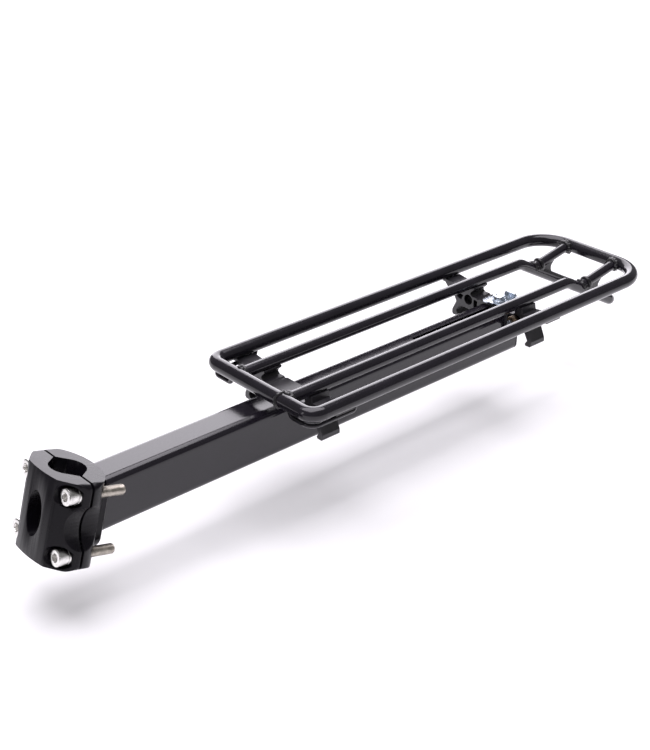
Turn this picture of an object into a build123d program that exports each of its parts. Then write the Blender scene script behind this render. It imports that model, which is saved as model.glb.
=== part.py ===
"""Seatpost rear rack: a two-piece clamp, a rectangular beam, and a tube platform that slides on it.

Frame: +X points rearwards along the beam, +Y to the rider's right, +Z up, all in millimetres.
The origin is where the beam's axis meets the seatpost bore's axis, which leans by CLAMP_TILT.
"""
from build123d import *
import math
import os

os.makedirs("parts", exist_ok=True)

# --- driving dimensions -------------------------------------------------------------------
CLAMP_TILT = 15.5          # lean of the seatpost from vertical, degrees
BORE_D = 27.2              # seatpost bore
CLAMP_BOTTOM = -30.0       # ends of the clamp along the bore
CLAMP_TOP = 35.5
CLAMP_HALF_W = 33.5        # half width over the ears
REAR_DEPTH = 22.0          # depth of the rear half behind the bore's axis
SPLIT_GAP = 2.0            # gap between the two halves
BOLT_Y = 25.0              # bolt offset either side of the bore
BOLT_W = (25.3, -20.5)     # bolt heights along the bore

BOLT_D = 7.8               # M8 socket head cap screws
BOLT_LENGTH = 40.0
HEAD_D = 12.8
HEAD_H = 8.0
SOCKET_AF = 6.0
PAD_U = -6.5               # floor of the counterbores under the washers
SPRING_WASHER_T = 2.1
SPRING_WASHER_D = 12.4

BEAM_W = 30.0              # beam section
BEAM_H = 42.0
BEAM_WALL = 2.0
BEAM_R = 6.0               # outer corner radius of its section
BEAM_START_U = 25.0        # the beam starts on the clamp's rear pad
BEAM_END_X = 466.0
SLOT_W = 6.8               # slot in the beam's top wall for the locking bolt

RAIL_Z = 34.8              # centre height of the platform's tubes
FRONT_X = 182.0            # axis of the front cross tube
REAR_X = 587.0             # axis of the rear cross tube
HALF_W = 60.5              # half the spacing of the outer rails
LOOP_R = 6.0               # outer tube radius
LOOP_WALL = 1.5
FRONT_BEND = 10.0
REAR_BEND = 31.0
INNER_Y = 27.8             # half the spacing of the inner rails
INNER_R = 5.0              # inner tube radius
DROP_X = 516.0             # where the inner rails bend down
DROP_ANGLE = 28.5
INNER_END_X = 588.0        # axis of the inner loop's rear cross piece

BRACKET_W = 18.0           # length of each cross bracket along the beam
FRONT_BRACKET_X = 205.0    # front faces of the two brackets
REAR_BRACKET_X = 448.0
GAP = 0.3                  # sliding clearance between brackets and beam
TRAVEL = 100.0             # how far the platform slides forward

# --- values worked out from them ----------------------------------------------------------
TILT = math.radians(CLAMP_TILT)
AXIS_UP = (math.sin(TILT), 0, math.cos(TILT))
AXIS_BACK = (math.cos(TILT), 0, -math.sin(TILT))
CLAMP_PLANE = Plane(origin=(0, 0, 0), x_dir=AXIS_BACK, z_dir=AXIS_UP)


def clamp_point(u, y, w):
    """A point given along the bolts (u), across (y) and along the bore (w)."""
    return (u * AXIS_BACK[0] + w * AXIS_UP[0], y, u * AXIS_BACK[2] + w * AXIS_UP[2])


def bolt_plane(u, y, w):
    """Plane across a clamp bolt at u, facing rearwards along the bolt."""
    return Plane(origin=clamp_point(u, y, w), x_dir=(0, 1, 0), z_dir=AXIS_BACK)


BOLTS = {
    "upper_left": (-BOLT_Y, BOLT_W[0]),
    "upper_right": (BOLT_Y, BOLT_W[0]),
    "lower_left": (-BOLT_Y, BOLT_W[1]),
    "lower_right": (BOLT_Y, BOLT_W[1]),
}


def write(part, name):
    part.label = name
    export_step(part, f"parts/{name}.step")


# --- seatpost clamp -----------------------------------------------------------------------
EAR_CORNER = 5.0           # rounded corners of the ears, seen from the front
WAIST_HALF_W = 25.5        # half width between the ears
WAIST_R = 22.0
MIDDLE_W = (CLAMP_TOP + CLAMP_BOTTOM) / 2
CLAMP_H = CLAMP_TOP - CLAMP_BOTTOM
OVAL_W = 17.0              # tall oval window in the front half
OVAL_H = 34.5
SPOT_D = 16.6              # counterbore around each bolt head
BEAM_PAD_W = 36.0          # pad on the rear half that carries the beam
BEAM_PAD_H = 47.0
PAD_U_START = 15.0
SPLIT_RELIEF = 7.5         # corners of the bore relieved beside the split
RELIEF_Y = 17.8
FACE_PLANE = Plane(origin=(0, 0, 0), x_dir=AXIS_UP, z_dir=AXIS_BACK)


def clamp_block(front):
    """One half of the clamp: its plan along the bore, cut to the ears' outline from the front."""
    with BuildPart() as half:
        with BuildSketch(CLAMP_PLANE.offset(CLAMP_BOTTOM)):
            if front:
                with BuildLine():
                    Polyline((-SPLIT_GAP / 2, CLAMP_HALF_W), (-SPLIT_GAP / 2, -CLAMP_HALF_W))
                    Spline((-SPLIT_GAP / 2, -CLAMP_HALF_W), (-7.0, -31.6), (-12.6, -26.8),
                           tangents=((-1, 0.1), (-0.75, 0.66)))
                    Line((-12.6, -26.8), (-20.0, -18.0))
                    ThreePointArc((-20.0, -18.0), (-21.8, 0), (-20.0, 18.0))
                    Line((-20.0, 18.0), (-12.6, 26.8))
                    Spline((-12.6, 26.8), (-7.0, 31.6), (-SPLIT_GAP / 2, CLAMP_HALF_W),
                           tangents=((0.75, 0.66), (1, 0.1)))
                make_face()
            else:
                Ellipse(REAR_DEPTH, CLAMP_HALF_W)
                with Locations((-REAR_DEPTH + SPLIT_GAP / 2, 0)):
                    Rectangle(2 * REAR_DEPTH, 2 * CLAMP_HALF_W + 2, mode=Mode.SUBTRACT)
        extrude(amount=CLAMP_H)
        with BuildSketch(CLAMP_PLANE.offset(CLAMP_BOTTOM)):
            Circle(BORE_D / 2)
            with BuildLine():
                Polyline((0, RELIEF_Y), (SPLIT_RELIEF, 11.4), (SPLIT_RELIEF, -11.4),
                         (0, -RELIEF_Y), (-SPLIT_RELIEF, -11.4), (-SPLIT_RELIEF, 11.4),
                         (0, RELIEF_Y))
            make_face()
        extrude(amount=CLAMP_H, mode=Mode.SUBTRACT)
        with BuildSketch(FACE_PLANE.offset(-40)):
            with Locations((MIDDLE_W, 0)):
                RectangleRounded(CLAMP_H, 2 * CLAMP_HALF_W, EAR_CORNER)
            with Locations((MIDDLE_W, WAIST_HALF_W + WAIST_R), (MIDDLE_W, -WAIST_HALF_W - WAIST_R)):
                Circle(WAIST_R, mode=Mode.SUBTRACT)
        extrude(amount=80, mode=Mode.INTERSECT)
    return half.part


with BuildPart() as clamp_front_half:
    add(clamp_block(front=True))
    with BuildSketch(bolt_plane(-40, 0, MIDDLE_W)):
        Ellipse(OVAL_W / 2, OVAL_H / 2)
    extrude(amount=38, mode=Mode.SUBTRACT)
    for bolt_y, bolt_w in BOLTS.values():
        with BuildSketch(bolt_plane(-40, bolt_y, bolt_w)):
            Circle(SPOT_D / 2)
        extrude(amount=40 + PAD_U, mode=Mode.SUBTRACT)
        with BuildSketch(bolt_plane(-40, bolt_y, bolt_w)):
            Circle(BOLT_D / 2 + 0.4)
        extrude(amount=50, mode=Mode.SUBTRACT)
write(clamp_front_half.part, "clamp_front_half")

with BuildPart() as clamp_rear_half:
    add(clamp_block(front=False))
    with BuildSketch(bolt_plane(PAD_U_START, 0, 0)):
        RectangleRounded(BEAM_PAD_W, BEAM_PAD_H, BEAM_R + 2)
    extrude(amount=BEAM_START_U - PAD_U_START)
    for bolt_y, bolt_w in BOLTS.values():
        with BuildSketch(bolt_plane(-5, bolt_y, bolt_w)):
            Circle(BOLT_D / 2 + 0.06)
        extrude(amount=50, mode=Mode.SUBTRACT)
write(clamp_rear_half.part, "clamp_rear_half")

SPRING_U = PAD_U - SPRING_WASHER_T    # underside of the bolt heads
SPRING_SLIT = 1.2

for position, (bolt_y, bolt_w) in BOLTS.items():
    with BuildPart() as clamp_bolt:
        with BuildSketch(bolt_plane(SPRING_U - HEAD_H, bolt_y, bolt_w)):
            Circle(HEAD_D / 2)
        extrude(amount=HEAD_H)
        chamfer(clamp_bolt.edges().filter_by(GeomType.CIRCLE)[0], 0.7)
        with BuildSketch(bolt_plane(SPRING_U - HEAD_H, bolt_y, bolt_w)):
            RegularPolygon(SOCKET_AF / 2, 6, major_radius=False)
        extrude(amount=HEAD_H / 2, mode=Mode.SUBTRACT)
        with BuildSketch(bolt_plane(SPRING_U, bolt_y, bolt_w)):
            Circle(BOLT_D / 2)
        extrude(amount=BOLT_LENGTH)
        chamfer(clamp_bolt.faces().sort_by(Axis((0, 0, 0), AXIS_BACK))[-1].edges(), 0.8)
    write(clamp_bolt.part, "clamp_bolt_" + position)

with BuildPart() as clamp_spring_washers:
    for bolt_y, bolt_w in BOLTS.values():
        with BuildSketch(bolt_plane(SPRING_U, bolt_y, bolt_w)):
            Circle(SPRING_WASHER_D / 2)
            Circle(BOLT_D / 2 + 0.2, mode=Mode.SUBTRACT)
            with Locations((-6, 0)):
                Rectangle(6, SPRING_SLIT, mode=Mode.SUBTRACT)
        extrude(amount=SPRING_WASHER_T)
write(clamp_spring_washers.part, "clamp_spring_washers")

# --- beam ---------------------------------------------------------------------------------
LOCK_X = REAR_BRACKET_X + BRACKET_W / 2
SLOT_START = LOCK_X - TRAVEL - SLOT_W
SLOT_END = LOCK_X + SLOT_W
WELD_R = 2.6
CAP_T = 2.0                # flange of the end cap
CAP_PLUG = 14.0            # length of the plug inside the beam
CAP_NOTCH = 12.0           # the plug is cut away at the top to clear the locking screw


PAD_FACE = Plane(origin=clamp_point(BEAM_START_U, 0, 0), x_dir=(0, 1, 0), z_dir=AXIS_BACK)

with BuildPart() as beam:
    with BuildSketch(Plane.YZ.offset(-40)):
        RectangleRounded(BEAM_W, BEAM_H, BEAM_R)
        RectangleRounded(BEAM_W - 2 * BEAM_WALL, BEAM_H - 2 * BEAM_WALL, BEAM_R - BEAM_WALL,
                         mode=Mode.SUBTRACT)
    extrude(amount=BEAM_END_X + 40)
    split(bisect_by=PAD_FACE, keep=Keep.TOP)
    with BuildSketch(Plane.XY.offset(BEAM_H / 2 - 6)):
        with Locations(((SLOT_START + SLOT_END) / 2, 0)):
            SlotOverall(SLOT_END - SLOT_START, SLOT_W)
    extrude(amount=10, mode=Mode.SUBTRACT)
write(beam.part, "beam")

with BuildPart() as beam_weld:
    with BuildSketch(PAD_FACE):
        RectangleRounded(BEAM_W + 1.6 * WELD_R, (BEAM_H + 1.6 * WELD_R) / math.cos(TILT),
                         BEAM_R + 1)
    extrude(amount=WELD_R, taper=35)
    with BuildSketch(Plane.YZ.offset(-40)):
        RectangleRounded(BEAM_W, BEAM_H, BEAM_R)
    extrude(amount=200, mode=Mode.SUBTRACT)
write(beam_weld.part, "beam_weld")

with BuildPart() as beam_end_cap:
    with BuildSketch(Plane.YZ.offset(BEAM_END_X)):
        RectangleRounded(BEAM_W, BEAM_H, BEAM_R)
    extrude(amount=CAP_T)
    with BuildSketch(Plane.YZ.offset(BEAM_END_X - CAP_PLUG)):
        RectangleRounded(BEAM_W - 2 * BEAM_WALL - 0.2, BEAM_H - 2 * BEAM_WALL - 0.2,
                         BEAM_R - BEAM_WALL - 0.1)
        RectangleRounded(BEAM_W - 2 * BEAM_WALL - 4, BEAM_H - 2 * BEAM_WALL - 4, 2,
                         mode=Mode.SUBTRACT)
        with Locations((0, BEAM_H / 2)):
            Rectangle(BEAM_W, 2 * CAP_NOTCH, mode=Mode.SUBTRACT)
    extrude(amount=CAP_PLUG)
write(beam_end_cap.part, "beam_end_cap")

# --- platform tubes -----------------------------------------------------------------------
with BuildPart() as outer_loop:
    with BuildLine(Plane.XY.offset(RAIL_Z)) as outer_path:
        FilletPolyline(
            (REAR_X, -HALF_W), (REAR_X, HALF_W), (FRONT_X, HALF_W), (FRONT_X, -HALF_W),
            radius=[REAR_BEND, REAR_BEND, FRONT_BEND, FRONT_BEND], close=True)
    with BuildSketch(Plane(origin=outer_path.line @ 0, z_dir=outer_path.line % 0)):
        Circle(LOOP_R)
        Circle(LOOP_R - LOOP_WALL, mode=Mode.SUBTRACT)
    sweep()
write(outer_loop.part, "outer_loop")
loop_section = Plane(origin=outer_path.line @ 0, z_dir=outer_path.line % 0) * Circle(LOOP_R)
loop_filled = sweep(loop_section, path=outer_path.line)

drop = math.tan(math.radians(DROP_ANGLE))
INNER_END_Z = RAIL_Z - (INNER_END_X - DROP_X) * drop
INNER_START_X = FRONT_X + LOOP_R - 1.0
DROP_BEND = 20.0
INNER_BEND = 9.0

with BuildPart() as inner_loop:
    with BuildLine() as inner_path:
        FilletPolyline(
            (INNER_START_X, -INNER_Y, RAIL_Z), (DROP_X, -INNER_Y, RAIL_Z),
            (INNER_END_X, -INNER_Y, INNER_END_Z), (INNER_END_X, INNER_Y, INNER_END_Z),
            (DROP_X, INNER_Y, RAIL_Z), (INNER_START_X, INNER_Y, RAIL_Z),
            radius=[DROP_BEND, INNER_BEND, INNER_BEND, DROP_BEND])
    with BuildSketch(Plane(origin=(INNER_START_X, -INNER_Y, RAIL_Z), z_dir=(1, 0, 0))):
        Circle(INNER_R)
        Circle(INNER_R - LOOP_WALL, mode=Mode.SUBTRACT)
    sweep()
    add(loop_filled, mode=Mode.SUBTRACT)
write(inner_loop.part, "inner_loop")

FALL = Vector(math.cos(math.radians(DROP_ANGLE)), 0, -math.sin(math.radians(DROP_ANGLE)))

# short struts from the rear cross tube down to the bent inner rails
STRUT_R = 4.5
STRUT_Y = INNER_Y
STRUT_LOW_X = 534.2        # where a strut's axis meets the inner rail's axis
STRUT_LOW_Z = RAIL_Z - (STRUT_LOW_X - DROP_X) * drop

for side, sign in (("left", -1), ("right", 1)):
    with BuildPart() as rear_strut:
        low = Vector(STRUT_LOW_X, sign * STRUT_Y, STRUT_LOW_Z)
        high = Vector(REAR_X, sign * STRUT_Y, RAIL_Z)
        along = (high - low).normalized()
        with BuildSketch(Plane(origin=low, z_dir=along)):
            Circle(STRUT_R)
        extrude(amount=(high - low).length)
        add(loop_filled, mode=Mode.SUBTRACT)
        knee = Vector(DROP_X, sign * STRUT_Y, RAIL_Z)
        with BuildSketch(Plane(origin=knee - FALL * 60, z_dir=FALL)):
            Circle(INNER_R)
        extrude(amount=160, mode=Mode.SUBTRACT)
    write(rear_strut.part.solids().sort_by(Axis.X)[-1], "rear_strut_" + side)

# weld beads: rings around the tube that butts against another tube
BEAD_R = 1.7
STRUT_BEAD_R = 1.9
FOOT_BEAD = 10.0           # the foot's bead, measured along the strut from the rail's axis
WEB_T = 5.0                # weld web filling the acute corner behind each strut's foot
WEB_L = 30.0
WEB_HOLE = 32.0            # its hollow end: centre distance and radius
WEB_R = 6.4
JOINT_Y = 25.0             # where the outer loop's two ends meet in the front cross tube


def ring_bead(point, direction, radius, bead_radius):
    """A torus bead around a tube at a point, its axis along the tube."""
    return Plane(origin=point, z_dir=direction) * Torus(radius, bead_radius)


def tube_tool(point, direction, radius, length):
    """A solid rod that stands for a tube when a bead is trimmed to it."""
    return extrude(Plane(origin=point, z_dir=direction) * Circle(radius), length)


front_beads = []
strut_beads = []
for sign in (-1, 1):
    rail = tube_tool((FRONT_X, sign * INNER_Y, RAIL_Z), (1, 0, 0), INNER_R, 60)
    bead_point = (FRONT_X + LOOP_R + 0.2, sign * INNER_Y, RAIL_Z)
    front_beads.append(ring_bead(bead_point, (1, 0, 0), INNER_R, BEAD_R) - rail - loop_filled)
    low = Vector(STRUT_LOW_X, sign * STRUT_Y, STRUT_LOW_Z)
    high = Vector(REAR_X, sign * STRUT_Y, RAIL_Z)
    along = (high - low).normalized()
    strut = tube_tool(low - along * 10, along, STRUT_R, (high - low).length + 10)
    bent_rail = tube_tool(Vector(DROP_X, sign * STRUT_Y, RAIL_Z) - FALL * 60, FALL, INNER_R, 160)
    top_bead = ring_bead(high - along * (LOOP_R - 0.8), along, STRUT_R, STRUT_BEAD_R)
    strut_beads.append(top_bead - strut - loop_filled)
    low_bead = ring_bead(low + along * FOOT_BEAD, along, STRUT_R, STRUT_BEAD_R)
    web_plane = Plane(origin=low + Vector(0, WEB_T / 2, 0), x_dir=(1, 0, 0), z_dir=(0, -1, 0))
    middle = (along + FALL).normalized() * WEB_HOLE
    corners = [(0, 0), (along.X * WEB_L, along.Z * WEB_L), (FALL.X * WEB_L, FALL.Z * WEB_L), (0, 0)]
    web = extrude(web_plane * make_face(Polyline(corners)), WEB_T)
    web = web - extrude(web_plane * Pos(middle.X, middle.Z) * Circle(WEB_R), WEB_T)
    strut_beads.append(low_bead + web - strut - bent_rail)
joint_bead = ring_bead((FRONT_X, -JOINT_Y, RAIL_Z), (0, 1, 0), LOOP_R, 1.1)
left_rail = tube_tool((FRONT_X, -INNER_Y, RAIL_Z), (1, 0, 0), INNER_R + BEAD_R + 0.2, 60)
joint_bead = joint_bead - loop_filled - left_rail

with BuildPart() as front_welds:
    add(front_beads)
write(front_welds.part, "front_welds")

with BuildPart() as strut_welds:
    add(strut_beads)
write(strut_welds.part, "strut_welds")

with BuildPart() as loop_joint_weld:
    add(joint_bead)
write(loop_joint_weld.part, "loop_joint_weld")

# cord hooks: wires that run under the front corners, from the front tube round to the rail
HOOK_R = 1.9
HOOK_X = FRONT_X + 0.5
HOOK_Y = HALF_W - 1.0
HOOK_DROP = 10.2
HOOK_START_Y = 32.0
HOOK_END_X = 227.5
HOOK_RISE = 5.0            # length over which the wire's front end comes down
HOOK_BEND = 3.5
HOOK_TURN = 2.0
HOOK_CORNER = 9.0

for side, sign in (("left", -1), ("right", 1)):
    start = Vector(HOOK_X, sign * HOOK_START_Y, RAIL_Z - 3)
    below = Vector(HOOK_X, sign * (HOOK_START_Y + HOOK_RISE), RAIL_Z - HOOK_DROP)
    with BuildPart() as cord_hook:
        with BuildLine():
            FilletPolyline(
                start, below, (HOOK_X, sign * HOOK_Y, RAIL_Z - HOOK_DROP),
                (HOOK_END_X - HOOK_TURN, sign * HOOK_Y, RAIL_Z - HOOK_DROP),
                (HOOK_END_X, sign * HOOK_Y, RAIL_Z - 3),
                radius=[HOOK_BEND, HOOK_CORNER, HOOK_TURN])
        with BuildSketch(Plane(origin=start, z_dir=(below - start).normalized())):
            Circle(HOOK_R)
        sweep()
        add(loop_filled, mode=Mode.SUBTRACT)
    write(cord_hook.part.solids().sort_by(SortBy.VOLUME)[-1], "cord_hook_" + side)

# --- cross brackets -----------------------------------------------------------------------
SADDLE_R = INNER_R + 0.1
LIP = 2.8                  # depth of the saddle lips below the rail's centre
LIP_Y = math.sqrt(SADDLE_R ** 2 - LIP ** 2)
SIDE_Y = BEAM_W / 2 + GAP
CORNER_Y = BEAM_W / 2 - BEAM_R            # centre of the beam's rounded corner
CORNER_Z = BEAM_H / 2 - BEAM_R - RAIL_Z
CORNER_MID = (BEAM_R + GAP) / math.sqrt(2)
BEAM_TOP = BEAM_H / 2 + GAP - RAIL_Z      # underside of the bracket's bridge, from rail height
BRIDGE_TOP = -11.3         # top of the bridge over the beam
SEAT_R = LOOP_R + 0.15     # the arms carry the outer rails in shallow seats
SEAT_IN_Y = HALF_W - SEAT_R * 0.6
SEAT_IN_Z = -SEAT_R * 0.8
PORT_OFFSET = INNER_Y + 0.5
PORT_DROP = 15.8           # round port under each inner rail
PORT_R = 4.7


def bracket(start_x):
    """The extruded cross bracket, from start_x rearwards; its section is drawn in (y, z)."""
    section = Plane(origin=(start_x, 0, RAIL_Z), x_dir=(0, 1, 0), z_dir=(1, 0, 0))
    with BuildPart() as body:
        for sign in (-1, 1):
            with BuildSketch(section):
                with BuildLine():
                    Polyline((0, BEAM_TOP), (0, BRIDGE_TOP), (sign * 15.6, BRIDGE_TOP),
                             (sign * 16.4, BRIDGE_TOP - 0.9), (sign * 18.0, BRIDGE_TOP - 0.9),
                             (sign * 18.8, BRIDGE_TOP), (sign * 24.2, BRIDGE_TOP),
                             (sign * 26.2, -9.6), (sign * 25.9, -8.2), (sign * 22.2, -4.4),
                             (sign * 22.2, -LIP), (sign * (INNER_Y - LIP_Y), -LIP))
                    ThreePointArc((sign * (INNER_Y - LIP_Y), -LIP), (sign * INNER_Y, -SADDLE_R),
                                  (sign * (INNER_Y + LIP_Y), -LIP))
                    Polyline((sign * (INNER_Y + LIP_Y), -LIP), (sign * 33.9, -LIP),
                             (sign * 34.9, -7.8), (sign * SEAT_IN_Y, SEAT_IN_Z))
                    ThreePointArc((sign * SEAT_IN_Y, SEAT_IN_Z),
                                  (sign * (HALF_W - SEAT_R * 0.4), -SEAT_R * math.sqrt(0.84)),
                                  (sign * HALF_W, -SEAT_R))
                    Polyline((sign * HALF_W, -SEAT_R), (sign * 62, -SEAT_R), (sign * 62, -7.6),
                             (sign * 57.2, -7.9), (sign * 53, -12.2), (sign * 45.5, -17.0), (sign * 42.6, -22),
                             (sign * 46.8, -31), (sign * 47, -34.6), (sign * 45.6, -36),
                             (sign * 40.8, -36), (sign * 39.8, -34.4), (sign * 42.2, -30.8),
                             (sign * 38.4, -24.2), (sign * 18.4, -25.2), (sign * 17.4, -29.5),
                             (sign * SIDE_Y, -29.5), (sign * SIDE_Y, CORNER_Z))
                    ThreePointArc((sign * SIDE_Y, CORNER_Z),
                                  (sign * (CORNER_Y + CORNER_MID), CORNER_Z + CORNER_MID),
                                  (sign * CORNER_Y, BEAM_TOP))
                    Line((sign * CORNER_Y, BEAM_TOP), (0, BEAM_TOP))
                make_face()
                with Locations((sign * PORT_OFFSET, -PORT_DROP)):
                    Circle(PORT_R, mode=Mode.SUBTRACT)
                with BuildLine():
                    Polyline((sign * 34.6, -13.6), (sign * 47.5, -11.4), (sign * 40.5, -17.8),
                             (sign * 36.8, -18.6), (sign * 34.6, -13.6))
                make_face(mode=Mode.SUBTRACT)
                with BuildLine():
                    Polyline((sign * 17.6, -14.0), (sign * 21.2, -13.4), (sign * 21.8, -15.5),
                             (sign * 21.2, -21.6), (sign * 17.6, -22.4), (sign * 17.6, -14.0))
                make_face(mode=Mode.SUBTRACT)
            extrude(amount=BRACKET_W)
    return body.part


with BuildPart() as front_bracket:
    add(bracket(FRONT_BRACKET_X))
write(front_bracket.part, "front_bracket")

PLATE_T = 2.0
PLATE_W = 23.0
PLATE_TOP = RAIL_Z + BRIDGE_TOP + PLATE_T
LOCK_D = 6.0
LOCK_AF = 10.0             # hexagon across the flats
LOCK_HEAD_H = 4.2
LOCK_WASHER_T = 1.2
NUT_PLATE_T = 4.0
NUT_PLATE_SIZE = (16.0, 18.0)
LOCK_WASHER_R = 6.0

with BuildPart() as rear_bracket:
    add(bracket(REAR_BRACKET_X))
    with BuildSketch(Plane.XY.offset(BEAM_H / 2)):
        with Locations((LOCK_X, 0)):
            Circle(LOCK_D / 2 + 0.3)
    extrude(amount=20, mode=Mode.SUBTRACT)
write(rear_bracket.part, "rear_bracket")

# --- locking hardware on the rear bracket -------------------------------------------------
TAB_H = 6.0                # upturned tail of the plate

with BuildPart() as lock_plate:
    with BuildSketch(Plane.XY.offset(RAIL_Z + BRIDGE_TOP)):
        with Locations((LOCK_X + 2, 0)):
            RectangleRounded(BRACKET_W + 4, PLATE_W, 1.5)
    extrude(amount=PLATE_T)
    with BuildSketch(Plane.YZ.offset(LOCK_X + BRACKET_W / 2 + 2)):
        with Locations((-3, RAIL_Z + BRIDGE_TOP + TAB_H / 2)):
            RectangleRounded(13, TAB_H + 3, 3)
    extrude(amount=2)
    with BuildSketch(Plane.XY.offset(RAIL_Z - 20)):
        with Locations((LOCK_X + 10, 0)):
            Rectangle(40, 40)
    extrude(amount=20 + BRIDGE_TOP, mode=Mode.SUBTRACT)
    with BuildSketch(Plane.XY.offset(BEAM_H / 2)):
        with Locations((LOCK_X, 0)):
            Circle(LOCK_D / 2 + 0.3)
    extrude(amount=20, mode=Mode.SUBTRACT)
write(lock_plate.part, "lock_plate")

with BuildPart() as lock_washer:
    with BuildSketch(Plane.XY.offset(PLATE_TOP)):
        with Locations((LOCK_X, 0)):
            Circle(LOCK_WASHER_R)
            Circle(LOCK_D / 2 + 0.2, mode=Mode.SUBTRACT)
    extrude(amount=LOCK_WASHER_T)
write(lock_washer.part, "lock_washer")

NUT_TOP = BEAM_H / 2 - BEAM_WALL - GAP

with BuildPart() as lock_bolt:
    with BuildSketch(Plane.XY.offset(PLATE_TOP + LOCK_WASHER_T)):
        with Locations((LOCK_X, 0)):
            RegularPolygon(LOCK_AF / 2, 6, major_radius=False)
    extrude(amount=LOCK_HEAD_H)
    with BuildSketch(Plane.XY.offset(NUT_TOP - NUT_PLATE_T - 3)):
        with Locations((LOCK_X, 0)):
            Circle(LOCK_D / 2)
    extrude(amount=PLATE_TOP + LOCK_WASHER_T - (NUT_TOP - NUT_PLATE_T - 3))
write(lock_bolt.part, "lock_bolt")

with BuildPart() as lock_nut_plate:
    with BuildSketch(Plane.XY.offset(NUT_TOP - NUT_PLATE_T)):
        with Locations((LOCK_X, 0)):
            RectangleRounded(*NUT_PLATE_SIZE, 1)
            Circle(LOCK_D / 2 + 0.06, mode=Mode.SUBTRACT)
    extrude(amount=NUT_PLATE_T)
write(lock_nut_plate.part, "lock_nut_plate")

# side screw with a brass knurled nut in the rear bracket's left port
PORT_Y = -PORT_OFFSET
PORT_Z = RAIL_Z - PORT_DROP
KNOB_R = 5.2
KNOB_L = 6.6
SCREW_R = 2.5
SCREW_START_X = REAR_BRACKET_X - 9.0
SCREW_HEAD_R = 6.2
SCREW_HEAD_H = 3.0

with BuildPart() as port_screw:
    with BuildSketch(Plane.YZ.offset(SCREW_START_X)):
        with Locations((PORT_Y, PORT_Z)):
            Circle(SCREW_R)
    extrude(amount=REAR_BRACKET_X + BRACKET_W - SCREW_START_X)
    with BuildSketch(Plane.YZ.offset(REAR_BRACKET_X + BRACKET_W)):
        with Locations((PORT_Y, PORT_Z)):
            Circle(SCREW_HEAD_R)
    extrude(amount=SCREW_HEAD_H)
    fillet(port_screw.faces().sort_by(Axis.X)[-1].edges(), 1.2)
write(port_screw.part, "port_screw")

with BuildPart() as brass_nut:
    with BuildSketch(Plane.YZ.offset(REAR_BRACKET_X - KNOB_L - GAP)):
        with Locations((PORT_Y, PORT_Z)):
            Circle(KNOB_R)
            Circle(SCREW_R + 0.06, mode=Mode.SUBTRACT)
    extrude(amount=KNOB_L)
write(brass_nut.part, "brass_nut")
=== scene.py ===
"""Visual model of the seatpost rear rack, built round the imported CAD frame. Metres, +X rearwards, +Z up."""
import math
import random

import bmesh
import bpy
from mathutils import Matrix, Vector, noise


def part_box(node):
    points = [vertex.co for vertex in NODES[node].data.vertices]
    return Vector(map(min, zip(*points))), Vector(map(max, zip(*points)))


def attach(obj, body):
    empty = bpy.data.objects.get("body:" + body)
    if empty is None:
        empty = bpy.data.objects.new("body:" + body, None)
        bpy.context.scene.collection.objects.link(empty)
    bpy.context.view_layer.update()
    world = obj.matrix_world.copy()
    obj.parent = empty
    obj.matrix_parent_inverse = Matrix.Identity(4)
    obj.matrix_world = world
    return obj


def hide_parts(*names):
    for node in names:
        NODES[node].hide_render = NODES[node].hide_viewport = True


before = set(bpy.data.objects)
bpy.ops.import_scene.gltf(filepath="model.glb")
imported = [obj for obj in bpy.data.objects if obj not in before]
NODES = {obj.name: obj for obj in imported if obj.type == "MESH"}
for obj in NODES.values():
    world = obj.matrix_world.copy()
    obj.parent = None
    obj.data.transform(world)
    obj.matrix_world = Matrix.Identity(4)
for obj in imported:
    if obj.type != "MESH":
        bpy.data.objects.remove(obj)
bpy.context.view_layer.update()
MM = 0.001

# --- materials ----------------------------------------------------------------------------


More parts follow.
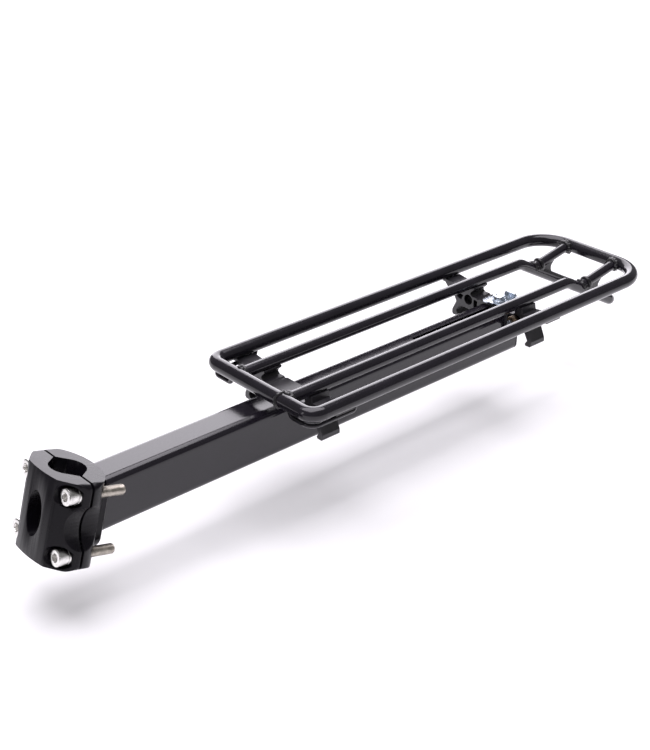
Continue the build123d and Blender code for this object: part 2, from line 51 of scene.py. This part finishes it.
class Nodes:
    """A small helper that makes the nodes of one material."""

    def __init__(self, name):
        self.material = bpy.data.materials.new(name)
        self.material.use_nodes = True
        self.tree = self.material.node_tree
        self.tree.nodes.clear()
        self.out = self.tree.nodes.new("ShaderNodeOutputMaterial")
        self.shader = self.tree.nodes.new("ShaderNodeBsdfPrincipled")
        self.join(self.shader.outputs[0], self.out.inputs["Surface"])
        self.place = self.tree.nodes.new("ShaderNodeTexCoord").outputs["Object"]

    def join(self, a, b):
        self.tree.links.new(a, b)

    def set(self, **values):
        names = {"metallic": "Metallic", "roughness": "Roughness", "coat": "Coat Weight",
                 "coat_roughness": "Coat Roughness", "ior": "IOR", "specular": "Specular IOR Level"}
        for key, value in values.items():
            self.shader.inputs[names[key]].default_value = value

    def noise(self, scale, detail=4.0, rough=0.55, stretch=None):
        node = self.tree.nodes.new("ShaderNodeTexNoise")
        node.inputs["Scale"].default_value = scale
        node.inputs["Detail"].default_value = detail
        node.inputs["Roughness"].default_value = rough
        source = self.place
        if stretch:
            mapping = self.tree.nodes.new("ShaderNodeMapping")
            mapping.inputs["Scale"].default_value = stretch
            self.join(self.place, mapping.inputs["Vector"])
            source = mapping.outputs["Vector"]
        self.join(source, node.inputs["Vector"])
        return node.outputs["Fac"]

    def ramp(self, fac, *stops):
        node = self.tree.nodes.new("ShaderNodeValToRGB")
        elements = node.color_ramp.elements
        while len(elements) < len(stops):
            elements.new(0.5)
        for element, (position, colour) in zip(elements, stops):
            element.position = position
            if isinstance(colour, (int, float)):
                colour = (colour, colour, colour)
            element.color = (*colour, 1.0)
        self.join(fac, node.inputs["Fac"])
        return node.outputs["Color"]

    def maths(self, operation, a, b):
        node = self.tree.nodes.new("ShaderNodeMath")
        node.operation = operation
        for socket, value in zip(node.inputs, (a, b)):
            if isinstance(value, (int, float)):
                socket.default_value = value
            else:
                self.join(value, socket)
        return node.outputs[0]

    def mix(self, fac, a, b):
        node = self.tree.nodes.new("ShaderNodeMix")
        node.data_type = "RGBA"
        self.join(fac, node.inputs["Factor"])
        for socket, value in ((node.inputs[6], a), (node.inputs[7], b)):
            if isinstance(value, tuple):
                socket.default_value = (*value, 1.0)
            else:
                self.join(value, socket)
        return node.outputs[2]

    def bump(self, height, strength, distance):
        node = self.tree.nodes.new("ShaderNodeBump")
        node.inputs["Strength"].default_value = strength
        node.inputs["Distance"].default_value = distance
        self.join(height, node.inputs["Height"])
        self.join(node.outputs["Normal"], self.shader.inputs["Normal"])

    def colour(self, socket):
        self.join(socket, self.shader.inputs["Base Color"])

    def rough(self, socket):
        self.join(socket, self.shader.inputs["Roughness"])


def black_coat(name, base, rough_low, rough_high, orange_peel, coat, specular=0.5):
    """Powder-coated or painted black aluminium: near black, with fine orange peel and soft dust."""
    m = Nodes(name)
    cloud = m.noise(55, 5)
    fine = m.noise(1500, 3)
    tint = m.ramp(cloud, (0.3, tuple(c * 0.8 for c in base)), (0.7, tuple(c * 1.25 for c in base)))
    speck = m.ramp(fine, (0.66, (0, 0, 0)), (0.8, (1, 1, 1)))
    lighter = tuple(c * 2.2 for c in base)
    m.colour(m.mix(speck, tint, lighter))
    m.rough(m.ramp(m.maths("ADD", m.maths("MULTIPLY", cloud, 0.7), m.maths("MULTIPLY", fine, 0.3)),
                   (0.3, rough_low), (0.7, rough_high)))
    m.bump(m.maths("ADD", m.maths("MULTIPLY", m.noise(orange_peel, 3), 1.0),
                   m.maths("MULTIPLY", fine, 0.25)), 0.25, 0.00012)
    m.set(metallic=0.0, ior=1.45, coat=coat, coat_roughness=0.14, specular=specular)
    return m.material


def bare_metal(name, dark, light, rough_low, rough_high, grain=None, scale=260):
    """Plated or bare metal with a cloudy tint and, if asked, a brushed grain."""
    m = Nodes(name)
    cloud = m.noise(scale, 6)
    m.colour(m.ramp(cloud, (0.32, dark), (0.68, light)))
    streak = m.noise(900, 3, stretch=grain) if grain else m.noise(2200, 3)
    m.rough(m.ramp(m.maths("ADD", m.maths("MULTIPLY", cloud, 0.5), m.maths("MULTIPLY", streak, 0.5)),
                   (0.3, rough_low), (0.7, rough_high)))
    m.bump(streak, 0.18, 0.00006)
    m.set(metallic=1.0)
    return m.material


COAT = black_coat("black_powder_coat", (0.0090, 0.0074, 0.0115), 0.13, 0.21, 700, 0.25, 0.45)
CAST = black_coat("black_forged_coat", (0.0050, 0.0042, 0.0064), 0.24, 0.34, 520, 0.02, 0.2)
EXTRUDED = black_coat("black_anodised", (0.016, 0.015, 0.018), 0.30, 0.42, 900, 0.05, 0.6)
WELD = black_coat("black_weld_coat", (0.008, 0.0075, 0.009), 0.24, 0.4, 450, 0.2)
PLASTIC = black_coat("black_plastic", (0.012, 0.012, 0.013), 0.5, 0.62, 1200, 0.0)
SILVER = bare_metal("plated_screw", (0.62, 0.61, 0.59), (0.86, 0.85, 0.83), 0.16, 0.3)
THREAD = bare_metal("thread_steel", (0.34, 0.31, 0.27), (0.58, 0.54, 0.48), 0.28, 0.45)
ZINC = bare_metal("bright_zinc", (0.52, 0.58, 0.66), (0.82, 0.87, 0.93), 0.14, 0.32, scale=420)
BRASS = bare_metal("dull_brass", (0.075, 0.055, 0.038), (0.24, 0.18, 0.125), 0.32, 0.5, scale=500)


def paint(obj, material):
    obj.data.materials.clear()
    obj.data.materials.append(material)


for node, material in {
    "beam": COAT, "beam_weld": WELD, "beam_end_cap": PLASTIC,
    "clamp_rear_half": CAST, "clamp_front_half": CAST,
    "outer_loop": COAT, "inner_loop": COAT, "rear_strut_left": COAT, "rear_strut_right": COAT,
    "front_welds": WELD, "strut_welds": WELD, "loop_joint_weld": WELD, "cord_hook_left": COAT,
    "cord_hook_right": COAT, "front_bracket": EXTRUDED, "rear_bracket": EXTRUDED,
    "clamp_bolt_upper_left": SILVER, "clamp_bolt_upper_right": SILVER, "clamp_bolt_lower_left": SILVER,
    "clamp_bolt_lower_right": SILVER, "clamp_spring_washers": SILVER,
    "lock_plate": ZINC, "lock_washer": ZINC, "lock_bolt": ZINC, "lock_nut_plate": ZINC, "port_screw": ZINC,
    "brass_nut": BRASS,
}.items():
    paint(NODES[node], material)

# --- helpers for pieces -------------------------------------------------------------------
CLAMP_TILT = math.radians(15.5)
BACK = Vector((math.cos(CLAMP_TILT), 0.0, -math.sin(CLAMP_TILT)))     # along the clamp's screws
UP = Vector((math.sin(CLAMP_TILT), 0.0, math.cos(CLAMP_TILT)))        # along the seatpost
KNURL_TEETH = 48
HEAD_SEGMENTS = 3 * KNURL_TEETH
BEAD_SIDES = 12
THREAD_M8 = {"pitch": 1.25 * MM, "depth": 0.55 * MM}
THREAD_M6 = {"pitch": 1.0 * MM, "depth": 0.45 * MM}


def mesh_piece(name, bm, material, body, replaced=(), smooth_angle=35):
    """Links a finished bmesh as a piece that rides on a body, with sharp edges over smooth_angle."""
    bmesh.ops.recalc_face_normals(bm, faces=bm.faces)
    data = bpy.data.meshes.new(name)
    bm.to_mesh(data)
    bm.free()
    piece = bpy.data.objects.new(name, data)
    bpy.context.scene.collection.objects.link(piece)
    data.shade_smooth()
    data.set_sharp_from_angle(angle=math.radians(smooth_angle))
    paint(piece, material)
    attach(piece, body)
    if replaced:
        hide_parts(*replaced)
    return piece


def basis(origin, axis, side=None):
    """Matrix whose local z is the given axis."""
    axis = Vector(axis).normalized()
    side = Vector(side) if side else (Vector((0, 1, 0)) if abs(axis.y) < 0.9 else Vector((1, 0, 0)))
    x = (side - side.dot(axis) * axis).normalized()
    y = axis.cross(x)
    return Matrix.Translation(origin) @ Matrix((x, y, axis)).transposed().to_4x4()


def lathe(bm, place, profile, segments, shape):
    """Rings of (radius, height); shape(ring, angle) scales a ring's radius. Closed at both ends."""
    rings = []
    for i, (radius, height) in enumerate(profile):
        ring = []
        for k in range(segments):
            angle = 2 * math.pi * k / segments
            r = radius * shape(i, angle)
            ring.append(bm.verts.new(place @ Vector((r * math.cos(angle), r * math.sin(angle), height))))
        rings.append(ring)
    for a, b in zip(rings, rings[1:]):
        for k in range(segments):
            bm.faces.new((a[k], a[(k + 1) % segments], b[(k + 1) % segments], b[k]))
    for ring in (rings[0], rings[-1]):
        bm.faces.new(ring)


def hexagon(angle):
    """Radius of a hexagon of unit across-flats radius at an angle."""
    third = math.pi / 3
    return 1.0 / math.cos((angle + third / 2) % third - third / 2)


def thread(bm, place, start, end, radius, pitch, depth, segments=28, per_turn=8):
    """A screw thread as one closed skin whose crest climbs a helix."""
    rows = int((end - start) / pitch * per_turn)
    rings = []
    for i in range(rows + 1):
        z = start + (end - start) * i / rows
        fade = min(1.0, (end - z) / (0.8 * pitch))
        ring = []
        for k in range(segments):
            phase = (z / pitch - k / segments) % 1.0
            groove = max(0.0, 1.0 - abs(phase - 0.5) / 0.38)
            r = radius - depth * groove - (1.0 - fade) * 1.1 * depth
            angle = 2 * math.pi * k / segments
            ring.append(bm.verts.new(place @ Vector((r * math.cos(angle), r * math.sin(angle), z))))
        rings.append(ring)
    for a, b in zip(rings, rings[1:]):
        for k in range(segments):
            bm.faces.new((a[k], a[(k + 1) % segments], b[(k + 1) % segments], b[k]))
    for ring in (rings[0], rings[-1]):
        bm.faces.new(ring)


# --- clamp screws -------------------------------------------------------------------------
HEAD_R = 6.4 * MM
HEAD_H = 8.0 * MM
SOCKET_R = 3.0 * MM
SHANK_R = 3.9 * MM
BOLT_LENGTH = 40.0 * MM
UNDER_HEAD = -8.6 * MM          # along the screw, from the seatpost's axis
SPRING_T = 2.1 * MM
BOLT_PLACES = {"upper_left": (-25.0, 25.3), "upper_right": (25.0, 25.3),
               "lower_left": (-25.0, -20.5), "lower_right": (25.0, -20.5)}


def bolt_point(along, y, w):
    return BACK * along + Vector((0.0, y * MM, 0.0)) + UP * (w * MM)


def head_shape(ring, angle):
    """Hexagonal socket inside; a fine straight knurl round the outside of the head."""
    if ring < 4:
        return hexagon(angle)
    if ring in (9, 10):
        return 0.985 + 0.015 * math.cos(KNURL_TEETH * angle)
    return 1.0


random.seed(7)
for position, (bolt_y, bolt_w) in BOLT_PLACES.items():
    seat = basis(bolt_point(UNDER_HEAD - HEAD_H, bolt_y, bolt_w), BACK)
    place = seat @ Matrix.Rotation(random.uniform(0, 1), 4, "Z")
    # the head's skin runs from the socket's floor up over the rim and down to the bearing face
    profile = [(0.25 * SOCKET_R, 4.9 * MM), (0.97 * SOCKET_R, 4.2 * MM), (SOCKET_R, 4.0 * MM),
               (SOCKET_R, 0.45 * MM), (1.12 * SOCKET_R, 0.05 * MM), (4.3 * MM, 0.0), (HEAD_R - 1.0 * MM, 0.0),
               (HEAD_R - 0.45 * MM, 0.14 * MM), (HEAD_R - 0.08 * MM, 0.55 * MM), (HEAD_R, 1.0 * MM),
               (HEAD_R, HEAD_H - 0.35 * MM), (HEAD_R - 0.2 * MM, HEAD_H - 0.08 * MM),
               (HEAD_R - 0.5 * MM, HEAD_H),
               (SHANK_R - 0.1 * MM, HEAD_H), (SHANK_R - 0.3 * MM, HEAD_H + 0.5 * MM)]
    bm = bmesh.new()
    lathe(bm, place, profile, HEAD_SEGMENTS, head_shape)
    screw = mesh_piece("screw_head_" + position, bm, SILVER, "clamp_bolt_" + position,
                       ("clamp_bolt_" + position,), 40)
    bm = bmesh.new()
    thread(bm, place, HEAD_H - 0.5 * MM, HEAD_H + BOLT_LENGTH, SHANK_R, **THREAD_M8)
    shank = mesh_piece("screw_thread_" + position, bm, THREAD, "clamp_bolt_" + position, (), 60)

bm = bmesh.new()
for position, (bolt_y, bolt_w) in BOLT_PLACES.items():
    place = basis(bolt_point(UNDER_HEAD, bolt_y, bolt_w), BACK)
    inner, outer, wire = 4.15 * MM, 6.2 * MM, 1.75 * MM
    steps = 60
    turn = math.radians(352)
    sections = []
    for i in range(steps + 1):
        angle = math.radians(-86) + turn * i / steps
        lift = (SPRING_T - wire) * i / steps
        section = []
        for r, z in ((inner, 0.1), (inner + 0.12 * MM, 0.0), (outer - 0.2 * MM, 0.0), (outer, 0.12),
                     (outer, 0.88), (outer - 0.2 * MM, 1.0), (inner + 0.12 * MM, 1.0), (inner, 0.9)):
            corner = Vector((r * math.cos(angle), r * math.sin(angle), lift + z * wire))
            section.append(bm.verts.new(place @ corner))
        sections.append(section)
    for a, b in zip(sections, sections[1:]):
        for k in range(8):
            bm.faces.new((a[k], a[(k + 1) % 8], b[(k + 1) % 8], b[k]))
    bm.faces.new(sections[0])
    bm.faces.new(sections[-1])
washers = mesh_piece("split_spring_washers", bm, SILVER, "clamp_front", ("clamp_spring_washers",), 40)

# --- weld beads ---------------------------------------------------------------------------
RAIL_Z = 34.8 * MM
LOOP_R = 6.0 * MM
INNER_R = 5.0 * MM
RAIL_Y = 27.8 * MM
FRONT_X = 182.0 * MM
REAR_X = 587.0 * MM
DROP_X = 516.0 * MM
DROP_ANGLE = math.radians(28.5)
FALL = Vector((math.cos(DROP_ANGLE), 0.0, -math.sin(DROP_ANGLE)))
STRUT_R = 4.5 * MM
STRUT_LOW_X = 534.2 * MM
LOOP_JOINT_Y = -25.0 * MM       # where the outer loop's tube is butt welded to itself
LOOP_JOINT_R = 6.1 * MM


def bead(bm, path, radius, ripple, seed, closed=True):
    """A lumpy weld bead: a tube along the path, swollen by overlapping ripples and noise."""
    count = len(path)
    rings = []
    random.seed(seed)
    shift = Vector((random.uniform(0, 50), random.uniform(0, 50), random.uniform(0, 50)))
    length = 0.0
    for i in range(count):
        before = path[i - 1] if closed or i else path[0]
        after = path[(i + 1) % count] if closed or i < count - 1 else path[-1]
        tangent = (after - before).normalized()
        frame_ = basis(path[i], tangent, (0.31, 0.2, 0.93))
        if i:
            length += (path[i] - path[i - 1]).length
        crest = 0.5 + 0.5 * math.cos(2 * math.pi * length / ripple)
        ring = []
        for k in range(BEAD_SIDES):
            angle = 2 * math.pi * k / BEAD_SIDES
            unit = Vector((math.cos(angle), math.sin(angle), 0.0))
            spot = frame_ @ (unit * radius)
            lump = noise.noise(spot * 320 + shift) * 0.75 + noise.noise(spot * 900 + shift) * 0.3
            end = 1.0 if closed else min(1.0, 0.35 + 2.5 * min(i, count - 1 - i) / count)
            ring.append(bm.verts.new(frame_ @ (unit * radius * end * (0.9 + 0.28 * crest + lump))))
        rings.append(ring)
    pairs = list(zip(rings, rings[1:])) + ([(rings[-1], rings[0])] if closed else [])
    for a, b in pairs:
        for k in range(BEAD_SIDES):
            bm.faces.new((a[k], a[(k + 1) % BEAD_SIDES], b[(k + 1) % BEAD_SIDES], b[k]))
    if not closed:
        bm.faces.new(rings[0])
        bm.faces.new(rings[-1])


def tube_joint(origin, axis, tube_radius, other_origin, other_axis, other_radius, steps=72):
    """The line where a tube meets the skin of a bigger one that it butts against."""
    axis, other_axis = Vector(axis).normalized(), Vector(other_axis).normalized()
    place = basis(origin, axis)
    points = []
    for i in range(steps):
        angle = 2 * math.pi * i / steps
        start = place @ Vector((tube_radius * math.cos(angle), tube_radius * math.sin(angle), 0.0))
        gap = start - Vector(other_origin)
        # solve for the distance along the axis at which the point lies on the other tube's skin
        across = gap - gap.dot(other_axis) * other_axis
        step = axis - axis.dot(other_axis) * other_axis
        a, b, c = step.dot(step), 2 * across.dot(step), across.dot(across) - other_radius ** 2
        root = math.sqrt(max(b * b - 4 * a * c, 0.0))
        points.append(start + axis * ((-b - root) / (2 * a)))
    return points


strut_bm = bmesh.new()
front_bm = bmesh.new()
for sign in (-1, 1):
    low_z = RAIL_Z - (STRUT_LOW_X - DROP_X) * math.tan(DROP_ANGLE)
    low = Vector((STRUT_LOW_X, sign * RAIL_Y, low_z))
    high = Vector((REAR_X, sign * RAIL_Y, RAIL_Z))
    along = (high - low).normalized()
    top = tube_joint(low, along, STRUT_R + 0.5 * MM, high, (0, 1, 0), LOOP_R + 0.2 * MM)
    bead(strut_bm, top, 1.9 * MM, 2.6 * MM, 11 + sign)
    crown = [high + Vector((-5.0 * MM, (1.0 - 2.0 * t) * 6.5 * MM, 4.3 * MM - 2.2 * MM * abs(1.0 - 2.0 * t)))
             for t in [k / 24 for k in range(25)]]
    bead(strut_bm, crown, 1.7 * MM, 2.2 * MM, 21 + sign, closed=False)
    foot = tube_joint(high, -along, STRUT_R + 0.3 * MM, low, FALL, INNER_R + 0.3 * MM)
    bead(strut_bm, foot, 1.8 * MM, 2.5 * MM, 31 + sign)
    rail = Vector((FRONT_X + 30 * MM, sign * RAIL_Y, RAIL_Z))
    joint = tube_joint(rail, (-1, 0, 0), INNER_R + 0.2 * MM,
                       (FRONT_X, 0, RAIL_Z), (0, 1, 0), LOOP_R + 0.1 * MM)
    bead(front_bm, joint, 1.5 * MM, 2.4 * MM, 41 + sign)
ring = []
for k in range(60):
    angle = 2 * math.pi * k / 60
    ring.append(Vector((FRONT_X + LOOP_JOINT_R * math.cos(angle),
                        LOOP_JOINT_Y + 0.5 * MM * math.sin(3 * angle),
                        RAIL_Z + LOOP_JOINT_R * math.sin(angle))))
bead(front_bm, ring, 1.25 * MM, 2.6 * MM, 51)
strut_welds = mesh_piece("strut_weld_beads", strut_bm, WELD, "platform", (), 80)
front_welds = mesh_piece("front_weld_beads", front_bm, WELD, "platform", ("loop_joint_weld",), 80)

# --- knurled nut, lock bolt, washer -------------------------------------------------------
NUT_LOW, NUT_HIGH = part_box("brass_nut")
NUT_R = (NUT_HIGH.y - NUT_LOW.y) / 2
NUT_L = NUT_HIGH.x - NUT_LOW.x
NUT_FACE = Vector((NUT_LOW.x, (NUT_LOW.y + NUT_HIGH.y) / 2, (NUT_LOW.z + NUT_HIGH.z) / 2))
nut_place = basis(NUT_FACE, (1, 0, 0))
bm = bmesh.new()
nut_profile = [(2.6 * MM, 1.0 * MM), (2.75 * MM, 0.1 * MM), (NUT_R - 1.0 * MM, 0.0),
               (NUT_R - 0.5 * MM, 0.25 * MM), (NUT_R, 0.9 * MM), (NUT_R, NUT_L - 1.4 * MM),
               (NUT_R - 0.5 * MM, NUT_L - 0.8 * MM),
               (NUT_R - 1.4 * MM, NUT_L - 0.6 * MM), (NUT_R - 1.4 * MM, NUT_L)]


def knurl(ring, angle):
    """Coarse rounded teeth round the nut's side."""
    return 1.0 - (0.05 * abs(math.sin(14 * angle)) if ring in (3, 4, 5, 6) else 0.0)


lathe(bm, nut_place, nut_profile, 140, knurl)
nut = mesh_piece("knurled_brass_nut", bm, BRASS, "brass_nut", ("brass_nut",), 50)

LOCK_LOW, LOCK_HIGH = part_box("lock_bolt")
WASHER_LOW, WASHER_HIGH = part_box("lock_washer")
HEX_R = 5.0 * MM
LOCK_TURN = 0.4                  # how far round the hexagon stands, in radians
lock_place = Matrix.Translation(((WASHER_LOW.x + WASHER_HIGH.x) / 2, 0, 0))
bm = bmesh.new()
hex_profile = [(2.4 * MM, LOCK_HIGH.z - 0.5 * MM), (3.2 * MM, LOCK_HIGH.z - 0.1 * MM),
               (4.5 * MM, LOCK_HIGH.z),
               (HEX_R, LOCK_HIGH.z - 0.35 * MM), (HEX_R, LOCK_HIGH.z - 0.9 * MM),
               (HEX_R, WASHER_HIGH.z + 0.35 * MM), (HEX_R * 0.97, WASHER_HIGH.z), (2.8 * MM, WASHER_HIGH.z)]


def hex_shape(ring, angle):
    """A hexagonal side under a round chamfered top."""
    if ring in (4, 5, 6):
        return hexagon(angle)
    return 1.04 if ring == 3 else 1.0


lathe(bm, lock_place @ Matrix.Rotation(LOCK_TURN, 4, "Z"), hex_profile, 72, hex_shape)
thread(bm, lock_place, LOCK_LOW.z, WASHER_HIGH.z, 2.95 * MM, **THREAD_M6)
lock = mesh_piece("lock_hex_bolt", bm, ZINC, "lock_bolt", ("lock_bolt",), 32)


# --- softened edges of the carried-over parts ---------------------------------------------


def soften(node, width, angle=35):
    """Small rounded edges, which catch the light as those of a cast, bent or extruded part do."""
    obj = NODES[node]
    weld = obj.modifiers.new("weld", "WELD")
    weld.merge_threshold = 0.00001
    bevel = obj.modifiers.new("bevel", "BEVEL")
    bevel.width = width
    bevel.segments = 2
    bevel.limit_method = "ANGLE"
    bevel.angle_limit = math.radians(angle)
    bevel.harden_normals = True
    bevel.miter_outer = "MITER_ARC"


soften("clamp_front_half", 0.5 * MM)
soften("clamp_rear_half", 0.5 * MM)
soften("front_bracket", 0.22 * MM)
soften("rear_bracket", 0.22 * MM)
soften("lock_plate", 0.3 * MM)
soften("lock_washer", 0.25 * MM)

# --- camera -------------------------------------------------------------------------------
CAMERA_AT = Vector((-0.4108, -0.7269, 0.5407))
CAMERA_AZIMUTH = math.radians(47.75)     # from +X towards +Y
CAMERA_DOWN = math.radians(27.82)
CAMERA_ROLL = math.radians(0.56)
CAMERA_LENS = 66.7

camera = bpy.data.objects.new("camera", bpy.data.cameras.new("camera"))
bpy.context.scene.collection.objects.link(camera)
bpy.context.scene.camera = camera
camera.data.lens = CAMERA_LENS
camera.data.sensor_width = 36.0
camera.data.clip_start = 0.01
bpy.context.scene.view_settings.view_transform = "Standard"
forward = Vector((math.cos(CAMERA_DOWN) * math.cos(CAMERA_AZIMUTH),
                  math.cos(CAMERA_DOWN) * math.sin(CAMERA_AZIMUTH), -math.sin(CAMERA_DOWN)))
level = Vector((math.sin(CAMERA_AZIMUTH), -math.cos(CAMERA_AZIMUTH), 0.0))
up = level.cross(forward)
right = math.cos(CAMERA_ROLL) * level + math.sin(CAMERA_ROLL) * up
up = -math.sin(CAMERA_ROLL) * level + math.cos(CAMERA_ROLL) * up
turn = Matrix((right, up, -forward)).transposed().to_4x4()
camera.matrix_world = Matrix.Translation(CAMERA_AT) @ turn

# --- stage and light ----------------------------------------------------------------------
FLOOR_Z = -0.075
floor_mesh = bpy.data.meshes.new("floor")
FLOOR_HALF = 6.0
floor_mesh.from_pydata([(-FLOOR_HALF, -FLOOR_HALF, FLOOR_Z), (FLOOR_HALF, -FLOOR_HALF, FLOOR_Z),
                        (FLOOR_HALF, FLOOR_HALF, FLOOR_Z), (-FLOOR_HALF, FLOOR_HALF, FLOOR_Z)],
                       [], [(0, 1, 2, 3)])
floor = bpy.data.objects.new("floor", floor_mesh)
bpy.context.scene.collection.objects.link(floor)
pale = Nodes("pale_floor")
pale.colour(pale.ramp(pale.noise(3, 2), (0.3, (0.95, 0.95, 0.95)), (0.7, (0.98, 0.98, 0.98))))
pale.set(roughness=0.9)
paint(floor, pale.material)

world = bpy.data.worlds.new("studio")
bpy.context.scene.world = world
world.use_nodes = True
world.node_tree.nodes["Background"].inputs["Color"].default_value = (1.0, 1.0, 1.0, 1.0)
world.node_tree.nodes["Background"].inputs["Strength"].default_value = 0.22


def area_light(name, place, target, width, height, power, colour):
    data = bpy.data.lights.new(name, "AREA")
    data.shape = "RECTANGLE"
    data.size = width
    data.size_y = height
    data.energy = power
    data.color = colour
    light = bpy.data.objects.new(name, data)
    bpy.context.scene.collection.objects.link(light)
    light.location = place
    light.visible_camera = False
    light.rotation_euler = (Vector(target) - Vector(place)).to_track_quat("-Z", "Y").to_euler()


LILAC = (0.97, 0.935, 1.0)
area_light("key", (0.25, 0.15, 1.7), (0.25, 0, 0), 2.0, 1.6, 44, LILAC)
area_light("rim", (1.38, 1.5, 0.72), (0.25, 0, 0.05), 1.7, 1.66, 36, LILAC)
area_light("fill", (-1.25, 0.25, 0.45), (0.0, 0, 0), 0.16, 0.8, 1.6, LILAC)
